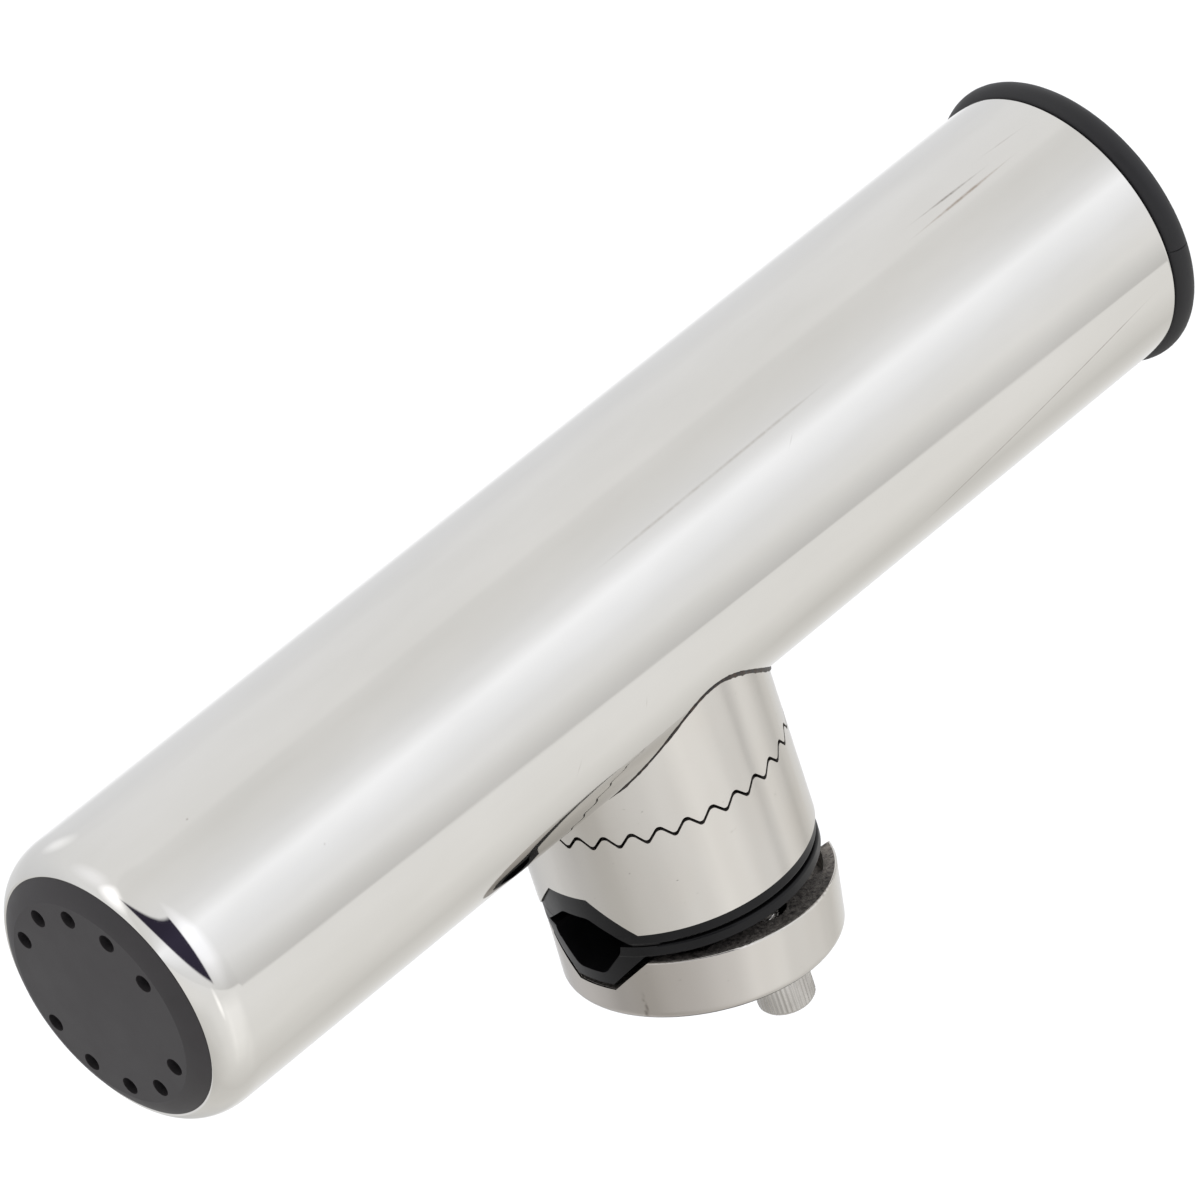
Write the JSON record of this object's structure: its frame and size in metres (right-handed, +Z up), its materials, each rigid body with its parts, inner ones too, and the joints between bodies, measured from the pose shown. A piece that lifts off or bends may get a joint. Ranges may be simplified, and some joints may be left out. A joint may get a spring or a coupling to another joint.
{
  "type": "clamp-on rod holder",
  "caption": "Polished tube for a fishing rod's butt on a toothed swivel over a rubber-lined clamp for a round boat rail.",
  "frame": {"origin": "centre of the gripped rail, where the two rubber liners meet", "axes": "+X along the rail and the tube, towards the open mouth; +Z up the swivel axis, from the rail to the tube"},
  "size_m": [0.2299, 0.0532, 0.1007],
  "materials": {
    "polished_tube": "mirror polished stainless steel",
    "satin_casting": "satin, fine lines round the clamp, rough cast inside",
    "screw_steel": "plain stainless steel",
    "black_plastic": "fine matte moulding",
    "black_rubber": "smooth matte"
  },
  "bodies": {
    "clamp_base": {"upper_jaw": "satin_casting", "upper_liner": "black_rubber"},
    "swivel_seat": {"swivel_spring_washer": "screw_steel"},
    "rod_tube": {"holder_tube": "polished_tube", "saddle": "satin_casting", "mouth_liner": "black_plastic", "end_cap": "black_plastic"},
    "swivel_bolt": {"swivel_bolt": "screw_steel"},
    "clamp_slider": {"lower_liner": "black_rubber"},
    "front_screw": {"clamp_screw_front": "screw_steel"},
    "rear_screw": {"clamp_screw_rear": "screw_steel"},
    "loose_jaw": {"lower_jaw": "satin_casting"}
  },
  "joints": [
    {"name": "swivel", "type": "hinge", "parent": "clamp_base", "child": "swivel_seat", "pos_m": [0, 0, 0.0153], "axis": [0, 0, 1], "range_deg": [-270, 270]},
    {"name": "crown_lift", "type": "slide", "parent": "swivel_seat", "child": "rod_tube", "axis": [0, 0, 1], "range_m": [0, 0.0025]},
    {"name": "swivel_bolt_turn", "type": "hinge", "parent": "swivel_seat", "child": "swivel_bolt", "pos_m": [0, 0, 0.0118], "axis": [0, 0, -1], "range_deg": [0, 720]},
    {"name": "clamp_open", "type": "slide", "parent": "clamp_base", "child": "clamp_slider", "axis": [0, 0, -1], "range_m": [0, 0.013]},
    {"name": "front_screw_turn", "type": "hinge", "parent": "clamp_slider", "child": "front_screw", "pos_m": [0, -0.0164, -0.01725], "axis": [0, 0, -1], "range_deg": [0, 4680]},
    {"name": "rear_screw_turn", "type": "hinge", "parent": "clamp_slider", "child": "rear_screw", "pos_m": [0, 0.0164, -0.01725], "axis": [0, 0, -1], "range_deg": [0, 4680]},
    {"name": "jaw_rock", "type": "hinge", "parent": "clamp_slider", "child": "loose_jaw", "pos_m": [0, -0.0003, -0.01115], "axis": [0, -1, 0], "range_deg": [0, 12]}
  ],
  "couplings": [
    {"joint": "swivel_bolt_turn", "follows": "crown_lift", "rad_per_m": 5026.5},
    {"joint": "front_screw_turn", "follows": "clamp_open", "rad_per_m": 6283.2},
    {"joint": "rear_screw_turn", "follows": "clamp_open", "rad_per_m": 6283.2}
  ]
}
